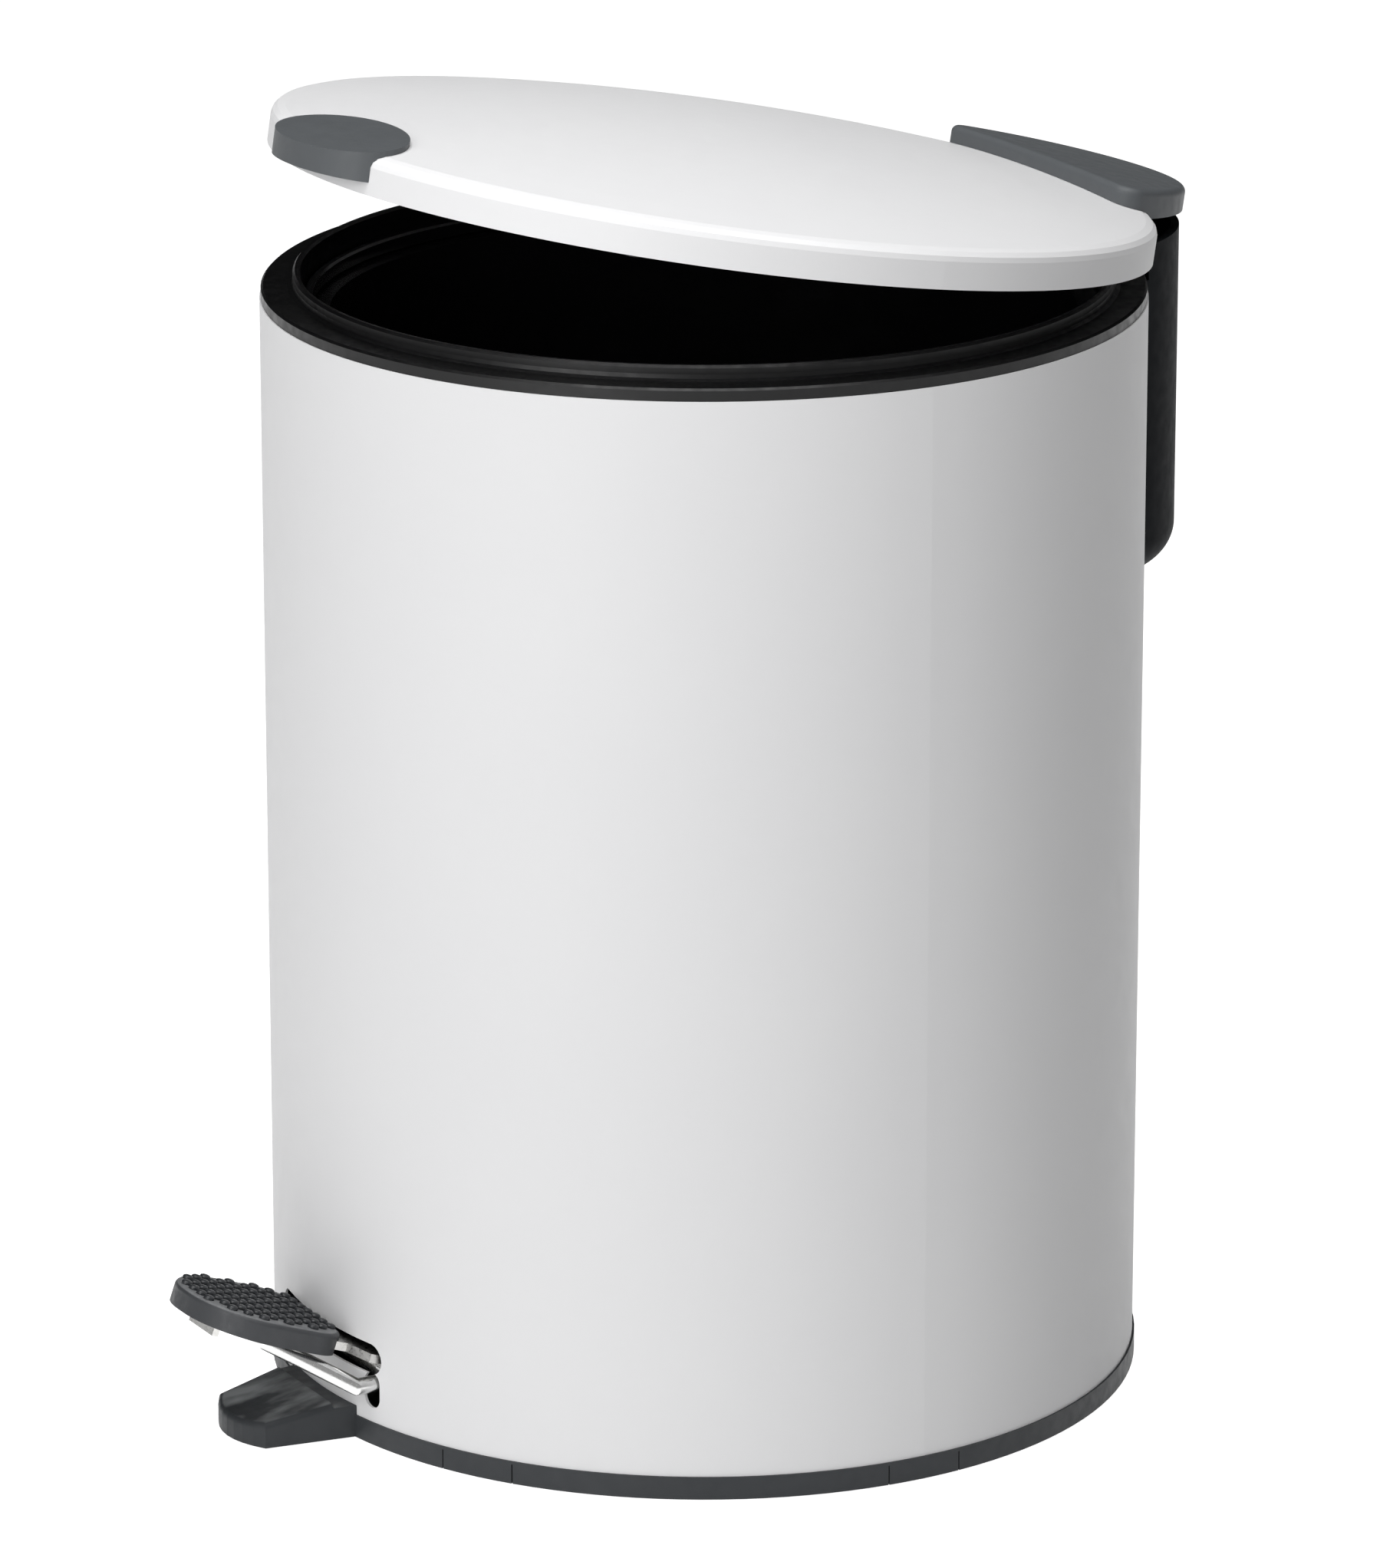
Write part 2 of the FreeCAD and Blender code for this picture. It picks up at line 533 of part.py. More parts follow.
bumpers = []
for i, angle in enumerate((-50.0, 50.0, 125.0, -125.0)):
    bumpers.append(rod("bumper%d" % i, 2.2, S.liner_low_z - S.collar_top_z - 0.35,
                       97.6 * math.sin(math.radians(angle)) * 1.0,
                       -97.6 * math.cos(math.radians(angle)), S.collar_top_z + 0.35))
bumper_set = node("lid_bumpers", group("lid_bumpers", bumpers))

# thumb tab: an oval that follows the dome and overhangs the lid's front edge
tab_blank = turned("tab_blank", [(70.0, S.tab_low_z), (115.0, S.tab_low_z)]
                   + [(r, h) for r, h in dome_outline(S.tab_proud, 115.0, 16)[::-1] if as_size(r).value > 70.0])
tab_plan = oval("tab_plan", S.tab_half_width, S.tab_half_depth, 0, -S.tab_centre_y, 255.0, 290.0)
tab_solid = cut("tab_solid", common("tab_oval", [tab_blank, tab_plan]), lid_bulk)
tab_bores = group("tab_bores", [rod("tab_bore%d" % i, 1.45, 5.1, x, y, 268.0)
                                for i, (x, y) in enumerate(TAB_SCREWS)])
tab = node("thumb_tab", cut("thumb_tab", tab_solid, tab_bores))
tab_screws = []
for i, (x, y) in enumerate(TAB_SCREWS):
    top = 271.3 + 8.0 * (1.0 - (math.hypot(x, y) / reach.value) ** 2)
    head = rod("tab_screw_head%d" % i, 2.6, 1.6, x, y, top - 1.2 - 1.6)
    shank = rod("tab_screw_shank%d" % i, 1.4, 1.9, x, y, top - 1.3)
    tab_screws.append(fuse("tab_screw%d" % i, [head, shank]))
tab_screw_set = node("tab_screws", group("tab_screws", tab_screws))

# hinge cover: a half-moon cap over the lid's back edge, its top gently curved and its edges soft
cover_round = rod("cover_round", S.cover_radius, 40.0, 0, S.cover_centre_y, S.cover_low_z)
cover_behind = box("cover_behind", -60.0, 60.0, S.cover_front_y, 140.0, 240.0, 320.0)
cover_plan = rounded("cover_plan", common("cover_half", [cover_round, cover_behind]), 4.5,
                     lambda e: len(e.Vertexes) == 2 and abs(e.Vertexes[0].Point.z - e.Vertexes[1].Point.z) > 30)
cover_sky = ball("cover_sky", S.cover_curve, 0, 0, S.cover_crown_z - S.cover_curve)
cover_moon = rounded("cover_moon", common("cover_under_sky", [cover_plan, cover_sky]), 1.6,
                     lambda e: min(v.Point.z for v in e.Vertexes) > S.cover_low_z.value + 2.0)
cover_cap = cut("cover_cap", cover_moon, lid_bulk)
hollow_round = rod("cover_hollow_round", S.cover_radius - S.cover_wall, 60.0, 0, S.cover_centre_y, 240.0)
hollow_sky = ball("cover_hollow_sky", S.cover_curve, 0, 0, S.cover_crown_z - S.cover_curve - S.cover_wall)
hollow_behind = rod("cover_hollow_front", S.lid_radius + 0.6, 60.0, 0, 0, 240.0)
cover_hollow = cut("cover_hollow", common("cover_hollow_solid", [hollow_round, hollow_sky]), hollow_behind)
cover_bores = [rod("cover_bore%d" % i, 1.55, 12.0, x, y, 263.0) for i, (x, y) in enumerate(ARM_SCREWS)]
cover = node("hinge_cover", cut("hinge_cover", cover_cap, group("cover_tools", [cover_hollow] + cover_bores)))

# hinge arm: two knuckles on the pin, a crank below them and a foot under the lid's sheet
hy, hz = S.hinge_y, S.hinge_z
arm_pieces = [
    box("arm_block", -9.3, 9.3, 103.9, hy - 6.0, hz + 2.2, hz + 7.0),
    box("arm_tongue", -9.3, 9.3, 103.9, hy + 0.5, hz + 1.6, hz + 4.4),
    box("arm_neck", -9.3, 9.3, 95.0, 105.0, hz + 3.6, hz + 8.0),
    box("arm_foot", -29.0, 29.0, 84.5, 95.5, hz + 6.0, hz + 8.6),
]
half_swing = math.radians(S.lid_travel.value * 0.5)
crank_y = S.hinge_y.value - S.crank_radius.value * math.cos(half_swing)
crank_z = S.hinge_z.value - S.crank_radius.value * math.sin(half_swing)
for side in (-1, 1):
    x0 = -9.3 if side < 0 else 5.5
    arm_pieces.append(rod("arm_knuckle%d" % side, S.knuckle_radius, 3.8, x0, hy, hz, "X"))
    arm_pieces.append(rod("crank_eye%d" % side, S.crank_pin_radius + 1.9, 3.0, x0 + (0.8 if side < 0 else 0.0),
                          crank_y, crank_z, "X"))
    web = box("crank_web%d" % side, x0 + (0.8 if side < 0 else 0.0), x0 + (0.8 if side < 0 else 0.0) + 3.0,
              -S.crank_radius, 0.0, -3.0, 3.0)
    web.Placement = Placement(Vector(0, S.hinge_y.value, S.hinge_z.value),
                              Rotation(Vector(1, 0, 0), math.degrees(half_swing))).multiply(web.Placement)
    for axis in "xyz":
        web.setExpression("Placement.Base." + axis, None)
    arm_pieces.append(web)
for i, (x, y) in enumerate(ARM_SCREWS):
    under = 271.3 + 8.0 * (1.0 - (math.hypot(x, y) / reach.value) ** 2) - 0.7
    arm_pieces.append(rod("arm_boss%d" % i, 3.6, under - 0.9 - (S.hinge_z.value + 8.0), x, y, hz + 8.0))
arm_solid = fuse("arm_solid", arm_pieces)
arm_tools = [
    rod("arm_pin_bore", S.hinge_pin_radius + 0.05, 30.0, -15.0, hy, hz, "X"),
    rod("arm_crank_bore", S.crank_pin_radius + 0.02, 30.0, -15.0, crank_y, crank_z, "X"),
]
for i, (x, y) in enumerate(ARM_SCREWS):
    arm_tools.append(rod("arm_bore%d" % i, 1.65, 20.0, x, y, hz))
arm = node("hinge_arm", cut("hinge_arm", arm_solid, group("arm_tools", arm_tools)))
arm_screw_list = []
for i, (x, y) in enumerate(ARM_SCREWS):
    head = rod("arm_screw_head%d" % i, 3.0, 1.1, x, y, hz + 6.0 - 1.1)
    shank = rod("arm_screw_shank%d" % i, 1.5, 9.2, x, y, hz + 5.5)
    arm_screw_list.append(fuse("arm_screw%d" % i, [head, shank]))
arm_screw_set = node("arm_screws", group("arm_screws", arm_screw_list))
crank_pin = node("crank_pin", rod("crank_pin", S.crank_pin_radius, 17.0, -8.5, crank_y, crank_z, "X"))

open_turn = Rotation(Vector(1, 0, 0), -S.lid_open_rest.value)
hinge_point = Vector(0, S.hinge_y.value, S.hinge_z.value)
doc.recompute()
for piece in (lid, liner, bumper_set, tab, tab_screw_set, cover, arm, arm_screw_set, crank_pin):
    swing = Placement(Vector(), open_turn, hinge_point)
    for axis in "xyz":
        piece.setExpression("Placement.Base." + axis, None)
    piece.Placement = swing.multiply(piece.Placement)

# ---------------------------------------------------------------- rear housing
low, top = S.housing_low_z, S.housing_top_z
housing_round = rounded("housing_round_foot", rod("housing_column", S.housing_radius, top - low, 0,
                        S.cover_centre_y, low), S.housing_round.value,
                        lambda e: len(e.Vertexes) == 1 and abs(e.Vertexes[0].Point.z - 185.0) < 0.1)
housing_inner = rod("housing_inner", S.housing_radius - S.housing_wall, top - low, 0, S.cover_centre_y,
                    low + 9.5)
housing_well = rod("housing_well", S.housing_radius - 9.5, 20.0, 0, S.cover_centre_y, low + 2.5)
drum_bulk = rod("drum_bulk", S.shell_radius + 0.1, 300.0, 0, 0, 0)
housing_parts = [cut("housing_open", housing_round, group("housing_room", [housing_inner, housing_well]))]
for side in (-1, 1):
    x0 = -13.0 if side < 0 else 9.7
    housing_parts.append(rod("housing_knuckle%d" % side, S.knuckle_radius, 3.3, x0, hy, hz, "X"))
    housing_parts.append(box("housing_post%d" % side, x0, x0 + 3.3, hy - 4.0, hy + 2.2, 232.0, hz))
    housing_parts.append(box("housing_web%d" % side, x0, x0 + 3.3, hy, 119.0, 232.0, 245.0))
housing_parts.append(box("housing_guide", -7.0, 7.0, 101.0, 121.0, 218.0, 224.0))
for i, (turn, height) in enumerate(SCREW_SPOTS):
    spot = Rotation(Vector(0, 0, 1), turn).multVec(Vector(0, 100, 0))
    housing_parts.append(rod("housing_boss%d" % i, 3.6, 10.0, spot.x, spot.y, height, "Y", turn))
housing_solid = fuse("housing_solid", housing_parts)
lid_room = rod("lid_room", S.lid_radius + 1.6, 60.0, 0, 0, 257.5)
housing_tools = [
    drum_bulk, lid_room,
    rod("housing_pin_bore", S.hinge_pin_radius + 0.01, 40.0, -20.0, hy, hz, "X"),
    rod("housing_guide_bore", S.wire_radius + 0.05, 20.0, 0, S.lift_outer_y, 210.0),
]
for i, (turn, height) in enumerate(SCREW_SPOTS):
    spot = Rotation(Vector(0, 0, 1), turn).multVec(Vector(0, 98, 0))
    housing_tools.append(rod("housing_bore%d" % i, 1.55, 11.0, spot.x, spot.y, height, "Y", turn))
node("rear_housing", cut("rear_housing", housing_solid, group("housing_tools", housing_tools)))
node("hinge_pin", rod("hinge_pin", S.hinge_pin_radius, 25.6, -12.8, hy, hz, "X"))
screws = []
for i, (turn, height) in enumerate(SCREW_SPOTS):
    head_at = Rotation(Vector(0, 0, 1), turn).multVec(Vector(0, 99.6, 0))
    shank_at = Rotation(Vector(0, 0, 1), turn).multVec(Vector(0, 101.0, 0))
    screws.append(fuse("housing_screw%d" % i, [
        rod("housing_screw_head%d" % i, 3.0, 2.2, head_at.x, head_at.y, height, "Y", turn),
        rod("housing_screw_shank%d" % i, 1.5, 7.5, shank_at.x, shank_at.y, height, "Y", turn)]))
node("housing_screws", group("housing_screws", screws))

# ---------------------------------------------------------------- lift frame and damper
tilt = math.radians(S.pedal_tilt.value)
tip_z = S.pivot_z.value - S.arm_reach.value * math.sin(tilt)
strap_z = tip_z + 2.0 + 0.2
inner_y, outer_y = S.lift_inner_y.value, S.lift_outer_y.value
jog_z = S.lift_jog_z.value
lift = bent_rod("lift_rod", S.wire_radius, [
    (0, inner_y, 7.0), (0, inner_y, jog_z), (0, outer_y, jog_z), (0, outer_y, S.lift_top_z.value)])
lift.append(box("lift_strap", -S.strap_half, S.strap_half, -78.3, 98.8, strap_z, strap_z + S.strap_wall))
node("lift_frame", fuse("lift_frame", lift))

half_stroke = S.crank_radius.value * math.sin(half_swing)
share = S.lid_open_rest.value / S.lid_travel.value
slot_mid = S.hinge_z.value - half_stroke + 2.0 * half_stroke * share
head_block = box("head_block", -5.0, 5.0, 103.1, 111.0, 246.5, slot_mid + 3.0)
head_tools = group("head_tools", [
    rod("head_socket", S.wire_radius + 0.02, 10.0, 0, S.lift_outer_y, 240.5),
    box("head_slot", -6.0, 6.0, 104.2, 109.7, slot_mid - 1.7, slot_mid + 1.7)])
node("lift_head", cut("lift_head", head_block, head_tools))

link = box("link_bar", -3.6, 23.6, outer_y - 2.6, outer_y + 2.6, 231.0, 234.5)
link_tools = group("link_tools", [
    rod("link_rod_hole", S.wire_radius + 0.02, 20.0, 0, outer_y, 225.0),
    rod("link_plunger_hole", 1.52, 20.0, 20.0, outer_y, 225.0)])
node("damper_link", cut("damper_link", link, link_tools))
damper_parts = cut("damper_body", rod("damper_tube", 4.4, 30.0, 20.0, outer_y, low + 9.6),
                   group("damper_room", [rod("damper_bore", 3.0, 26.0, 20.0, outer_y, low + 11.6),
                                         rod("damper_mouth", 1.55, 20.0, 20.0, outer_y, 210.0)]))
node("damper_body", damper_parts)
node("damper_plunger", fuse("damper_plunger", [
    rod("plunger_stem", 1.5, 34.0, 20.0, outer_y, 200.0),
    rod("plunger_piston", 2.94, 3.0, 20.0, outer_y, 200.0)]))

# ---------------------------------------------------------------- pedal
# built level about its axle at the origin, outward along -Y
def upright(edge):
    ends = [v.Point for v in edge.Vertexes]
    return len(ends) == 2 and math.hypot(ends[0].x - ends[1].x, ends[0].y - ends[1].y) < 0.01


def tongue_shape(label, half, far, near, low, high, far_round, near_round):
    """A plate along -Y with well rounded outer corners and less rounded inner ones."""
    block = box(label + "_block", -half, half, -far, -near, low, high)
    middle = -(as_size(far) + near).value * 0.5
    outer = rounded(label + "_outer", block, far_round, lambda e: upright(e) and e.Vertexes[0].Point.y < middle)
    if near_round:
        return rounded(label, outer, near_round, lambda e: upright(e) and e.Vertexes[0].Point.y > -as_size(near).value - 0.1)
    return outer


plate_top = S.plate_rise + S.plate_wall
pedal_parts = [
    tongue_shape("plate", S.plate_neck, S.plate_reach, 8.0, S.plate_rise, plate_top, 15.0, 0),
    slab("plate_flare", [(-S.plate_neck, -11.0), (-S.plate_half, -8.0), (-S.plate_half, -3.6),
                         (S.plate_half, -3.6), (S.plate_half, -8.0), (S.plate_neck, -11.0)],
         S.plate_rise, plate_top),
    box("plate_root", -18.7, 18.7, -4.0, 0.5, 0.8, plate_top),
    box("plate_lug", -6.0, 6.0, -40.2, -38.6, -3.0, S.plate_rise + 0.5),
    rod("pedal_hub", 3.0, 37.4, -18.7, 0, 0, "X"),
    box("inner_arm", -6.0, 6.0, 0.5, S.arm_reach, -1.0, 1.0),
    rod("arm_tip", 2.0, 12.0, -6.0, S.arm_reach, 0, "X"),
]
plate_solid = fuse("plate_solid", pedal_parts)
RIVETS = [(-7.0, -20.0), (7.0, -20.0)]
plate_tools = [rod("hub_bore", S.axle_radius + 0.05, 60.0, -30.0, 0, 0, "X")]
for i, (x, y) in enumerate(RIVETS):
    plate_tools.append(rod("rivet_hole%d" % i, 1.6, 10.0, x, y, -2.0))
plate = node("pedal_plate", cut("pedal_plate", plate_solid, group("plate_tools", plate_tools)))

pad_solid = tongue_shape("pad_solid", S.pad_half_width, S.pad_far, S.pad_near, S.pad_low, S.pad_top, 17.5, 8.0)
pad_room = tongue_shape("pad_room", S.pad_half_width - S.pad_wall, S.pad_far - S.pad_wall,
                        S.pad_near + S.pad_wall, S.pad_low - 1.0, plate_top + 0.1, 15.5, 6.0)
pad_mouth = box("pad_mouth", -S.plate_neck - 0.3, S.plate_neck + 0.3, -24.0, 0.0, S.pad_low - 1.0, plate_top + 0.1)
pad_round = rounded("pad_round", pad_solid, 1.2,
                    lambda e: min(v.Point.z for v in e.Vertexes) > S.pad_top.value - 0.1)
pad_bores = [rod("pad_bore%d" % i, 1.55, 3.0, x, y, 1.5) for i, (x, y) in enumerate(RIVETS)]
pad = node("pedal_pad", cut("pedal_pad", pad_round, group("pad_tools", [pad_room, pad_mouth] + pad_bores)))
rivets = []
for i, (x, y) in enumerate(RIVETS):
    rivets.append(fuse("rivet%d" % i, [
        rod("rivet_head%d" % i, 2.8, 1.0, x, y, S.plate_rise - 1.0),
        rod("rivet_shank%d" % i, 1.5, 2.8, x, y, S.plate_rise - 0.3)]))
rivet_set = node("pedal_rivets", group("pedal_rivets", rivets))

down = Rotation(Vector(1, 0, 0), -S.pedal_tilt.value)
doc.recompute()
for piece in (plate, pad, rivet_set):
    piece.Placement = Placement(Vector(0, -S.pivot_y.value, S.pivot_z.value), down)

leg_x, leg_z = S.rod_leg_x.value, S.rod_leg_z.value
cross_x, cross_y = S.rod_cross_x.value, -S.rod_cross_y.value
under_plate = S.pivot_z.value + S.plate_rise.value * math.cos(tilt) + (-cross_y - S.pivot_y.value) * math.tan(tilt)
cross_z = under_plate - S.wire_radius.value / math.cos(tilt) - 0.25
hoop = bent_rod("hoop", S.wire_radius, [
    (-leg_x, -S.pivot_y.value + 0.5, leg_z), (-leg_x, -104.2, leg_z), (-cross_x, cross_y, cross_z),
    (cross_x, cross_y, cross_z), (leg_x, -104.2, leg_z), (leg_x, -S.pivot_y.value + 0.5, leg_z)])
for side in (-1, 1):
    x0 = leg_x * side - 2.0
    hoop.append(rod("hoop_eye%d" % side, 3.3, 4.0, x0, -S.pivot_y, S.pivot_z, "X"))
hoop_bore = rod("hoop_bore", S.axle_radius + 0.05, 60.0, -30.0, -S.pivot_y, S.pivot_z, "X")
node("pedal_rod", cut("pedal_rod", fuse("hoop_solid", hoop), hoop_bore))
node("pedal_axle", rod("pedal_axle", S.axle_radius, 55.0, -27.5, -S.pivot_y, S.pivot_z, "X"))
clips = []
for side in (-1, 1):
    x0 = 26.3 if side > 0 else -27.1
    ring = cut("clip%d" % side, rod("clip_disc%d" % side, 2.5, 0.8, x0, -S.pivot_y, S.pivot_z, "X"),
               rod("clip_hole%d" % side, S.axle_radius + 0.01, 3.0, x0 - 1.0, -S.pivot_y, S.pivot_z, "X"))
    clips.append(ring)
node("axle_clips", group("axle_clips", clips))

doc.recompute()

problems = [o.Label for o in doc.Objects if "Invalid" in o.State or "Error" in o.State]
for name, thing in NODES.items():
    if thing.Shape.isNull() or not thing.Shape.isValid():
        problems.append(name)
if problems:
    raise RuntimeError("not built: %s" % problems)

os.makedirs("parts", exist_ok=True)
for name, thing in NODES.items():
    thing.Shape.exportStep("parts/%s.step" % name)
    b = thing.Shape.BoundBox
    print("%-16s %2d solids %9.0f mm3  x %7.1f %7.1f  y %7.1f %7.1f  z %7.1f %7.1f" % (
        name, len(thing.Shape.Solids), thing.Shape.Volume, b.XMin, b.XMax, b.YMin, b.YMax, b.ZMin, b.ZMax))
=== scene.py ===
import json
import math
import bmesh
import bpy
from mathutils import Matrix, Vector


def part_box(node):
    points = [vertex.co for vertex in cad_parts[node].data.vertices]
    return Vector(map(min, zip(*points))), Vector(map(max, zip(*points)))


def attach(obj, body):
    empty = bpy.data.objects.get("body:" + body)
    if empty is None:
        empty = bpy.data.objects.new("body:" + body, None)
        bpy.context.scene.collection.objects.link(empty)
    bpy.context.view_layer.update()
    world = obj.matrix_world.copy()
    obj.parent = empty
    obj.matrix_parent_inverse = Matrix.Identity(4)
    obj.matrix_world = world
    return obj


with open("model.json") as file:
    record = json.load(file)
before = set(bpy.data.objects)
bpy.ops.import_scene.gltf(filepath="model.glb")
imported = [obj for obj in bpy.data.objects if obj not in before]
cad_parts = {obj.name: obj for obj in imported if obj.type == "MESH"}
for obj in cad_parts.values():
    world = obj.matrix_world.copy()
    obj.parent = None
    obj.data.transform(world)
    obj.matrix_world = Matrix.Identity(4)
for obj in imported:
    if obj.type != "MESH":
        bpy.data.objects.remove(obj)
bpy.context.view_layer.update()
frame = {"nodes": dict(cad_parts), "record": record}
nodes = frame["nodes"]
MM = 0.001


# ------------------------------------------------------------------ finishes
class Finish:
    """A procedural surface built up on one shader, reading the piece's own coordinates."""

    def __init__(self, name, roughness=0.5, metallic=0.0, specular=0.5, coat=0.0, coat_roughness=0.1):
        self.material = bpy.data.materials.new(name)
        self.material.use_nodes = True
        self.tree = self.material.node_tree
        self.tree.nodes.clear()
        self.shader = self.add("ShaderNodeBsdfPrincipled")
        self.shader.inputs["Roughness"].default_value = roughness
        self.shader.inputs["Metallic"].default_value = metallic
        self.shader.inputs["Specular IOR Level"].default_value = specular
        self.shader.inputs["Coat Weight"].default_value = coat
        self.shader.inputs["Coat Roughness"].default_value = coat_roughness
        output = self.add("ShaderNodeOutputMaterial")
        self.join(self.shader.outputs["BSDF"], output.inputs["Surface"])
        self.place = self.add("ShaderNodeTexCoord").outputs["Object"]
        self.height = None

    def add(self, kind):
        return self.tree.nodes.new(kind)

    def join(self, source, target):
        self.tree.links.new(source, target)

    def stretched(self, x, y, z):
        """The piece's coordinates scaled, so that a pattern runs along the axis scaled least."""
        mapping = self.add("ShaderNodeMapping")
        mapping.inputs["Scale"].default_value = (x, y, z)
        self.join(self.place, mapping.inputs["Vector"])
        return mapping.outputs["Vector"]

    def noise(self, grain, detail=2.0, roughness=0.5, place=None):
        """Cloudy values whose lumps are about one grain across, in metres."""
        noise = self.add("ShaderNodeTexNoise")
        noise.inputs["Scale"].default_value = 1.0 / grain
        noise.inputs["Detail"].default_value = detail
        noise.inputs["Roughness"].default_value = roughness
        self.join(place or self.place, noise.inputs["Vector"])
        return noise.outputs["Fac"]

    def cells(self, grain, feature="F1"):
        """Distance to scattered points about one grain apart."""
        cells = self.add("ShaderNodeTexVoronoi")
        cells.feature = feature
        cells.inputs["Scale"].default_value = 1.0 / grain
        self.join(self.place, cells.inputs["Vector"])
        return cells.outputs["Distance"]

    def band(self, value, low, high, to_low=0.0, to_high=1.0):
        """A value's stretch from low to high spread over another stretch."""
        span = self.add("ShaderNodeMapRange")
        span.inputs["From Min"].default_value = low
        span.inputs["From Max"].default_value = high
        span.inputs["To Min"].default_value = to_low
        span.inputs["To Max"].default_value = to_high
        self.join(value, span.inputs["Value"])
        return span.outputs["Result"]

    def times(self, one, other):
        product = self.add("ShaderNodeMath")
        product.operation = "MULTIPLY"
        self.join(one, product.inputs[0])
        if hasattr(other, "node"):
            self.join(other, product.inputs[1])
        else:
            product.inputs[1].default_value = other
        return product.outputs[0]

    def axis(self, name, of="Object"):
        """One component of the piece's coordinates or of its own outward direction."""
        split = self.add("ShaderNodeSeparateXYZ")
        source = self.add("ShaderNodeTexCoord").outputs[of]
        self.join(source, split.inputs[0])
        return split.outputs[name]

    def colours(self, dark, light, mask):
        blend = self.add("ShaderNodeMix")
        blend.data_type = "RGBA"
        self.join(mask, blend.inputs[0])
        blend.inputs[6].default_value = (*dark, 1.0)
        blend.inputs[7].default_value = (*light, 1.0)
        self.join(blend.outputs[2], self.shader.inputs["Base Color"])
        return blend

    def over(self, blend, colour, mask):
        """Lays a further colour over a blend where the mask is high."""
        layer = self.add("ShaderNodeMix")
        layer.data_type = "RGBA"
        self.join(mask, layer.inputs[0])
        self.join(blend.outputs[2], layer.inputs[6])
        layer.inputs[7].default_value = (*colour, 1.0)
        self.join(layer.outputs[2], self.shader.inputs["Base Color"])
        return layer

    def roughness(self, mask, low, high):
        self.join(self.band(mask, 0.3, 0.7, low, high), self.shader.inputs["Roughness"])

    def relief(self, value, depth, strength=1.0):
        """Raises the surface by a depth in metres where the value is high; calls stack up."""
        bump = self.add("ShaderNodeBump")
        bump.inputs["Distance"].default_value = depth
        bump.inputs["Strength"].default_value = strength
        self.join(value, bump.inputs["Height"])
        if self.height is not None:
            self.join(self.height, bump.inputs["Normal"])
        self.height = bump.outputs["Normal"]
        self.join(self.height, self.shader.inputs["Normal"])


def white_powder_coat():
    coat = Finish("white_powder_coat", roughness=0.42, specular=0.22)
    cloud = coat.noise(60 * MM, detail=3)
    coat.colours((0.765, 0.765, 0.775), (0.795, 0.795, 0.80), cloud)
    peel = coat.noise(1.1 * MM, detail=3, roughness=0.6)
    coat.roughness(coat.noise(4 * MM), 0.40, 0.47)
    coat.relief(peel, 0.012 * MM)
    coat.relief(coat.noise(0.28 * MM, detail=1), 0.004 * MM)
    return coat.material


def black_moulding():
    """The collar: satin black with a fine spark-eroded grain and faint flow clouds."""
    plastic = Finish("black_collar_moulding", roughness=0.38, specular=0.32)
    plastic.colours((0.0022, 0.0022, 0.0025), (0.004, 0.004, 0.0044), plastic.noise(14 * MM, detail=4))
    plastic.roughness(plastic.noise(2.5 * MM, detail=3), 0.30, 0.46)
    plastic.relief(plastic.noise(0.35 * MM, detail=2), 0.012 * MM)
    return plastic.material


def black_gloss(name, low, high):
    plastic = Finish(name, roughness=low, specular=0.5)
    plastic.colours((0.004, 0.004, 0.0045), (0.007, 0.007, 0.008), plastic.noise(30 * MM))
    plastic.roughness(plastic.noise(9 * MM, detail=4), low, high)
    plastic.relief(plastic.noise(6 * MM, detail=1), 0.006 * MM)
    return plastic.material


def grey_moulding(name, colour, low, high, grain=0.45, depth=0.02, specular=0.45):
    """Dark plastic with an eroded-steel texture and slightly uneven gloss."""
    plastic = Finish(name, roughness=low, specular=specular)
    dark = tuple(0.90 * c for c in colour)
    light = tuple(1.10 * c for c in colour)
    plastic.colours(dark, light, plastic.noise(11 * MM, detail=5, roughness=0.6))
    plastic.roughness(plastic.noise(3 * MM, detail=4), low, high)
    plastic.relief(plastic.noise(grain * MM, detail=3, roughness=0.6), depth * MM)
    return plastic.material


def rubbed_base():
    """The base tray: the same dark plastic, paler where shoes rub the stabiliser's top."""
    plastic = Finish("dark_grey_base_moulding", roughness=0.5, specular=0.25)
    grey = plastic.colours((0.030, 0.033, 0.036), (0.040, 0.043, 0.047), plastic.noise(12 * MM, detail=5))
    up = plastic.band(plastic.axis("Z", "Normal"), 0.85, 0.97)
    in_front = plastic.band(plastic.axis("Y"), -0.103, -0.108)
    streaks = plastic.noise(5.0 * MM, detail=3, roughness=0.5, place=plastic.stretched(1.0, 0.35, 1.0))
    rubbed = plastic.times(plastic.times(up, in_front), plastic.band(streaks, 0.40, 0.75))
    plastic.over(grey, (0.22, 0.23, 0.235), rubbed)
    plastic.roughness(plastic.noise(2.8 * MM, detail=4), 0.42, 0.56)
    plastic.relief(plastic.noise(0.4 * MM, detail=3, roughness=0.6), 0.02 * MM)
    return plastic.material


def zinc_plate():
    metal = Finish("bright_zinc_plate", roughness=0.3, metallic=1.0)
    spangle = metal.noise(1.8 * MM, detail=4, roughness=0.6)
    metal.colours((0.50, 0.50, 0.49), (0.72, 0.71, 0.69), spangle)
    metal.roughness(metal.noise(0.9 * MM, detail=3), 0.22, 0.38)
    rolling = metal.noise(0.5 * MM, detail=2, place=metal.stretched(1.0, 0.08, 1.0))
    metal.relief(rolling, 0.01 * MM)
    return metal.material


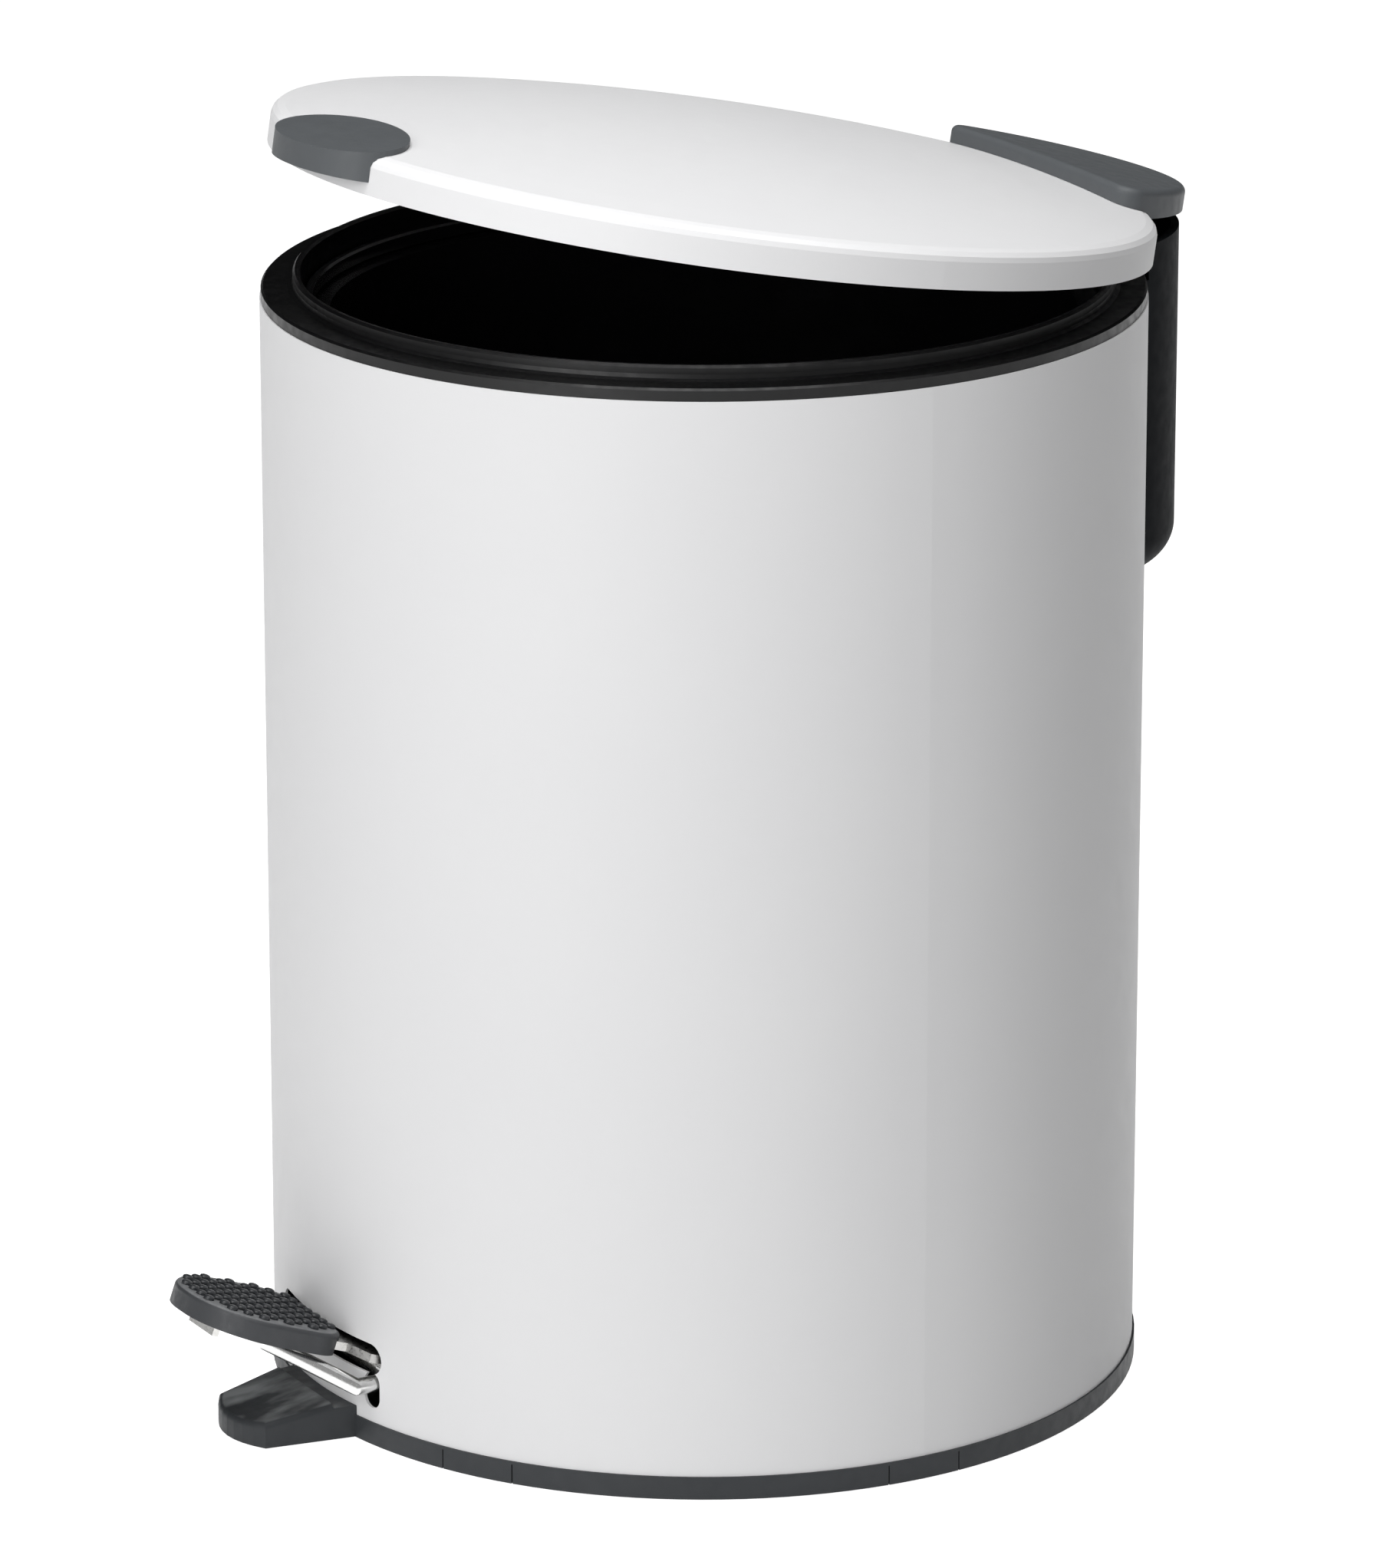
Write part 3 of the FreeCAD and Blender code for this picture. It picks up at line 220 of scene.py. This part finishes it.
def drawn_wire():
    metal = Finish("bright_drawn_wire", roughness=0.2, metallic=1.0)
    metal.colours((0.60, 0.60, 0.60), (0.80, 0.80, 0.79), metal.noise(3 * MM, detail=3))
    metal.roughness(metal.noise(0.7 * MM, detail=3), 0.16, 0.28)
    metal.relief(metal.noise(0.35 * MM, detail=2, place=metal.stretched(1.0, 0.1, 0.3)), 0.008 * MM)
    return metal.material


def studded_rubber_with_painted_sheen():
    rubber = Finish("studded_pedal_rubber_painted_sheen", roughness=0.55, specular=0.4)
    grey = rubber.colours((0.036, 0.038, 0.042), (0.048, 0.051, 0.055), rubber.noise(5 * MM, detail=5))
    # Painted sheen: faces that point upwards get a much paler grey, standing in for light from above, varied
    # by a noise.
    up = rubber.band(rubber.axis("Z", "Normal"), 0.80, 0.93)
    rubber.over(grey, (0.20, 0.205, 0.21), rubber.times(up, rubber.band(rubber.noise(4 * MM, detail=4), 0.3, 0.7, 0.5, 1.0)))
    rubber.roughness(rubber.noise(1.4 * MM, detail=3), 0.40, 0.58)
    rubber.relief(rubber.noise(0.3 * MM, detail=3, roughness=0.6), 0.02 * MM)
    return rubber.material


def plain_rubber():
    rubber = Finish("black_foot_rubber", roughness=0.75, specular=0.3)
    rubber.colours((0.018, 0.018, 0.018), (0.028, 0.028, 0.028), rubber.noise(2 * MM, detail=4))
    rubber.relief(rubber.noise(0.5 * MM), 0.02 * MM)
    return rubber.material


def pale_nylon():
    nylon = Finish("natural_nylon", roughness=0.45, specular=0.5)
    nylon.colours((0.55, 0.54, 0.50), (0.63, 0.62, 0.58), nylon.noise(6 * MM, detail=3))
    nylon.relief(nylon.noise(0.6 * MM, detail=2), 0.01 * MM)
    return nylon.material


NUB_RUBBER = grey_moulding("pedal_nub_rubber", (0.022, 0.024, 0.027), 0.28, 0.42, 0.3, 0.01)
FINISHES = {
    "white_coat": white_powder_coat(),
    "collar_black": black_moulding(),
    "bucket_black": black_gloss("gloss_black_bucket", 0.10, 0.2),
    "handle_black": black_gloss("gloss_black_handle", 0.12, 0.2),
    "base_grey": rubbed_base(),
    "housing_grey": grey_moulding("dark_housing_moulding", (0.006, 0.007, 0.0085), 0.5, 0.6, specular=0.03),
    "trim_grey": grey_moulding("dark_grey_trim_moulding", (0.092, 0.099, 0.105), 0.46, 0.56, 0.35, 0.015, 0.3),
    "liner_white": grey_moulding("white_liner_moulding", (0.62, 0.62, 0.62), 0.45, 0.55, 0.6, 0.01),
    "pad_rubber": studded_rubber_with_painted_sheen(),
    "foot_rubber": plain_rubber(),
    "bright_zinc": zinc_plate(),
    "bright_wire": drawn_wire(),
    "nylon": pale_nylon(),
}

for part in frame["record"]["subparts"]:
    mesh = nodes[part["node"]].data
    mesh.materials.clear()
    mesh.materials.append(FINISHES[part["material_slot"]])


# ------------------------------------------------------------------ the pedal's rubber nubs
def nub(radius, height, sides=14):
    """One low dome with a short upright skirt, closed underneath."""
    mesh = bpy.data.meshes.new("rubber_nub")
    build = bmesh.new()
    rings = []
    for share, rise in ((1.0, -0.3 * MM), (1.0, 0.45 * height), (0.86, 0.78 * height), (0.5, 0.96 * height)):
        rings.append([build.verts.new((radius * share * math.cos(2 * math.pi * i / sides),
                                       radius * share * math.sin(2 * math.pi * i / sides), rise))
                      for i in range(sides)])
    for low_ring, high_ring in zip(rings, rings[1:]):
        for i in range(sides):
            j = (i + 1) % sides
            build.faces.new((low_ring[i], low_ring[j], high_ring[j], high_ring[i]))
    build.faces.new(rings[0][::-1])
    tip = build.verts.new((0.0, 0.0, height))
    for i in range(sides):
        build.faces.new((rings[-1][i], rings[-1][(i + 1) % sides], tip))
    build.to_mesh(mesh)
    build.free()
    for face in mesh.polygons:
        face.use_smooth = True
    thing = bpy.data.objects.new("rubber_nub", mesh)
    bpy.context.scene.collection.objects.link(thing)
    return thing


def socket(tree, name):
    return next(item for item in tree.interface.items_tree
                if item.item_type == "SOCKET" and item.in_out == "INPUT" and item.name == name)


def nub_field(tree_name, seed_object, material):
    """Copies a nub onto every point handed in, each a little different in size and all tilted alike with the
    pad.
    """
    tree = bpy.data.node_groups.new(tree_name, "GeometryNodeTree")
    tree.interface.new_socket("Spots", in_out="INPUT", socket_type="NodeSocketGeometry")
    tree.interface.new_socket("Unevenness", in_out="INPUT", socket_type="NodeSocketFloat")
    tree.interface.new_socket("Seed", in_out="INPUT", socket_type="NodeSocketInt")
    tree.interface.new_socket("Nubs", in_out="OUTPUT", socket_type="NodeSocketGeometry")
    add, join = tree.nodes.new, tree.links.new
    given, given_out = add("NodeGroupInput"), add("NodeGroupOutput")
    points = add("GeometryNodeMeshToPoints")
    seed = add("GeometryNodeObjectInfo")
    seed.inputs["Object"].default_value = seed_object
    slope = add("FunctionNodeInputVector")
    slope.vector = (-PAD_TILT, 0.0, 0.0)
    uneven = add("FunctionNodeRandomValue")
    uneven.data_type = "FLOAT"
    least, most = add("ShaderNodeMath"), add("ShaderNodeMath")
    least.operation, most.operation = "SUBTRACT", "ADD"
    least.inputs[0].default_value = most.inputs[0].default_value = 1.0
    copies = add("GeometryNodeInstanceOnPoints")
    solid = add("GeometryNodeRealizeInstances")
    paint = add("GeometryNodeSetMaterial")
    paint.inputs["Material"].default_value = material
    join(given.outputs["Spots"], points.inputs["Mesh"])
    join(points.outputs["Points"], copies.inputs["Points"])
    join(seed.outputs["Geometry"], copies.inputs["Instance"])
    join(slope.outputs["Vector"], copies.inputs["Rotation"])
    join(given.outputs["Unevenness"], least.inputs[1])
    join(given.outputs["Unevenness"], most.inputs[1])
    numbers = [s for s in uneven.inputs if s.type == "VALUE"]
    join(least.outputs[0], numbers[0])
    join(most.outputs[0], numbers[1])
    join(given.outputs["Seed"], uneven.inputs["Seed"])
    join([s for s in uneven.outputs if s.type == "VALUE"][0], copies.inputs["Scale"])
    join(copies.outputs["Instances"], solid.inputs["Geometry"])
    join(solid.outputs["Geometry"], paint.inputs["Geometry"])
    join(paint.outputs["Geometry"], given_out.inputs["Nubs"])
    return tree


pedal_axle_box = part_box("pedal_axle")
axle_y = 0.5 * (pedal_axle_box[0][1] + pedal_axle_box[1][1])
axle_z = 0.5 * (pedal_axle_box[0][2] + pedal_axle_box[1][2])
PAD_TILT = math.radians(20.0)
PAD_NEAR, PAD_FAR, PAD_HALF, PAD_TOP = 11.5 * MM, 46.6 * MM, 19.0 * MM, 5.3 * MM
NUB_PITCH, NUB_RADIUS, NUB_HEIGHT = 3.85 * MM, 1.3 * MM, 1.0 * MM


def inside_pad(x, reach, margin):
    """Whether a spot on the pad's top keeps a margin from its rounded outline."""
    if not (PAD_NEAR + margin <= reach <= PAD_FAR - margin and abs(x) <= PAD_HALF - margin):
        return False
    for corner, centre in ((17.5 * MM, PAD_FAR - 17.5 * MM), (8.0 * MM, PAD_NEAR + 8.0 * MM)):
        beyond = (reach - centre) if centre > 0.5 * (PAD_NEAR + PAD_FAR) else (centre - reach)
        aside = abs(x) - (PAD_HALF - corner)
        if beyond > 0 and aside > 0 and math.hypot(beyond, aside) > corner - margin:
            return False
    return True


def pad_spots():
    """Staggered rows of spots along the pad, as points on its sloping top."""
    spots = []
    row_step = NUB_PITCH * math.sqrt(3.0) / 2.0
    for row in range(16):
        reach = PAD_NEAR + 2.3 * MM + row * row_step
        for column in range(-6, 7):
            x = (column + 0.5 * (row % 2)) * NUB_PITCH
            if inside_pad(x, reach, 1.75 * MM):
                spots.append((x, axle_y - reach * math.cos(PAD_TILT) + PAD_TOP * math.sin(PAD_TILT),
                              axle_z + reach * math.sin(PAD_TILT) + PAD_TOP * math.cos(PAD_TILT)))
    return spots


spots_mesh = bpy.data.meshes.new("nub_spots")
spots_mesh.from_pydata(pad_spots(), [], [])
nubs_live = bpy.data.objects.new("nub_spots", spots_mesh)
bpy.context.scene.collection.objects.link(nubs_live)
one_nub = nub(NUB_RADIUS, NUB_HEIGHT)
field = nub_field("nub_field", one_nub, NUB_RUBBER)
scatter = nubs_live.modifiers.new("nub_field", "NODES")
scatter.node_group = field
scatter[socket(field, "Unevenness").identifier] = 0.05
scatter[socket(field, "Seed").identifier] = 7
bpy.context.view_layer.update()
built = bpy.data.meshes.new_from_object(nubs_live.evaluated_get(bpy.context.evaluated_depsgraph_get()))
built.name = "pad_nubs"
nubs_live.modifiers.clear()
pad_nubs = bpy.data.objects.new("pad_nubs", built)
bpy.context.scene.collection.objects.link(pad_nubs)
for helper in (nubs_live, one_nub):
    bpy.data.objects.remove(helper, do_unlink=True)
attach(pad_nubs, "pedal")

# ------------------------------------------------------------------ floor, light and camera
floor_mesh = bpy.data.meshes.new("studio_floor")
floor_mesh.from_pydata([(-6, -6, 0), (6, -6, 0), (6, 6, 0), (-6, 6, 0)], [], [(0, 1, 2, 3)])
floor = bpy.data.objects.new("studio_floor", floor_mesh)
bpy.context.scene.collection.objects.link(floor)


def seen_white(tree):
    """1 for rays that come straight from the eye, a mirror or glass, as a strength for emission."""
    path = tree.nodes.new("ShaderNodeLightPath")
    total = path.outputs["Is Camera Ray"]
    for name in ("Is Glossy Ray", "Is Transmission Ray"):
        either = tree.nodes.new("ShaderNodeMath")
        either.operation = "MAXIMUM"
        tree.links.new(total, either.inputs[0])
        tree.links.new(path.outputs[name], either.inputs[1])
        total = either.outputs[0]
    return total


FLOOR_LIFT = 0.92


def white_floor():
    material = bpy.data.materials.new("white_sweep")
    material.use_nodes = True
    tree = material.node_tree
    tree.nodes.clear()
    surface = tree.nodes.new("ShaderNodeBsdfPrincipled")
    surface.inputs["Base Color"].default_value = (0.62, 0.62, 0.62, 1.0)
    surface.inputs["Roughness"].default_value = 0.22
    surface.inputs["Specular IOR Level"].default_value = 0.35
    lift = tree.nodes.new("ShaderNodeMath")
    lift.operation = "MULTIPLY"
    lift.inputs[1].default_value = FLOOR_LIFT
    tree.links.new(seen_white(tree), lift.inputs[0])
    glow = tree.nodes.new("ShaderNodeEmission")
    tree.links.new(lift.outputs[0], glow.inputs["Strength"])
    both = tree.nodes.new("ShaderNodeAddShader")
    output = tree.nodes.new("ShaderNodeOutputMaterial")
    tree.links.new(surface.outputs[0], both.inputs[0])
    tree.links.new(glow.outputs[0], both.inputs[1])
    tree.links.new(both.outputs[0], output.inputs["Surface"])
    return material


floor_mesh.materials.append(white_floor())

VIEW_AZIMUTH, VIEW_ELEVATION, VIEW_DISTANCE = 60.5, 16.98, 2.0
AIR_FRONT, AIR_BACK = 0.37, 0.01


def studio_air():
    """White to the eye; otherwise a soft glow from the camera's side and almost dark behind."""
    world = bpy.data.worlds.new("studio_air")
    bpy.context.scene.world = world
    world.use_nodes = True
    air = world.node_tree
    air.nodes.clear()
    add, join = air.nodes.new, air.links.new
    facing = add("ShaderNodeVectorMath")
    facing.operation = "DOT_PRODUCT"
    a = math.radians(VIEW_AZIMUTH - 6.0)
    facing.inputs[1].default_value = (math.sin(a), -math.cos(a), 0.0)
    join(add("ShaderNodeTexCoord").outputs["Generated"], facing.inputs[0])
    side = add("ShaderNodeMapRange")
    side.inputs["From Min"].default_value = -0.25
    side.inputs["From Max"].default_value = 0.55
    side.inputs["To Min"].default_value = AIR_BACK
    side.inputs["To Max"].default_value = AIR_FRONT
    join(facing.outputs["Value"], side.inputs["Value"])
    glow = add("ShaderNodeBackground")
    join(side.outputs["Result"], glow.inputs["Strength"])
    bright = add("ShaderNodeBackground")
    for shade in (glow, bright):
        shade.inputs["Color"].default_value = (1.0, 1.0, 1.0, 1.0)
    bright.inputs["Strength"].default_value = 1.0
    choice = add("ShaderNodeMixShader")
    join(add("ShaderNodeLightPath").outputs["Is Camera Ray"], choice.inputs[0])
    join(glow.outputs[0], choice.inputs[1])
    join(bright.outputs[0], choice.inputs[2])
    join(choice.outputs[0], add("ShaderNodeOutputWorld").inputs["Surface"])


studio_air()


def around(azimuth, elevation, distance, centre):
    """A point at an azimuth and an elevation in degrees; azimuth 0 is in front of the pedal."""
    a, e = math.radians(azimuth), math.radians(elevation)
    away = Vector((math.sin(a) * math.cos(e), -math.cos(a) * math.cos(e), math.sin(e)))
    return centre + away * distance, away


def softbox(name, azimuth, elevation, distance, width, height, power):
    lamp = bpy.data.lights.new(name, "AREA")
    lamp.shape = "RECTANGLE"
    lamp.size = width
    lamp.size_y = height
    lamp.energy = power
    place, away = around(azimuth, elevation, distance, Vector((0, 0, 0.15)))
    thing = bpy.data.objects.new(name, lamp)
    thing.location = place
    thing.rotation_mode = "QUATERNION"
    thing.rotation_quaternion = away.to_track_quat("Z", "Y")
    bpy.context.scene.collection.objects.link(thing)
    return thing


softbox("key_softbox", 28, 20, 1.6, 0.9, 1.3, 13.0)
softbox("top_softbox", 50, 82, 1.4, 1.1, 1.1, 17.5)

look_at = Vector((-0.0016, -0.0028, 0.1395))
lens = bpy.data.cameras.new("studio_camera")
lens.sensor_width = 36.0
lens.lens = 195.55
lens.clip_start, lens.clip_end = 0.05, 50.0
camera = bpy.data.objects.new("studio_camera", lens)
camera.location, backward = around(VIEW_AZIMUTH, VIEW_ELEVATION, VIEW_DISTANCE, look_at)
camera.rotation_mode = "QUATERNION"
camera.rotation_quaternion = backward.to_track_quat("Z", "Y")
bpy.context.scene.collection.objects.link(camera)
bpy.context.scene.camera = camera
bpy.context.scene.view_settings.view_transform = "Standard"
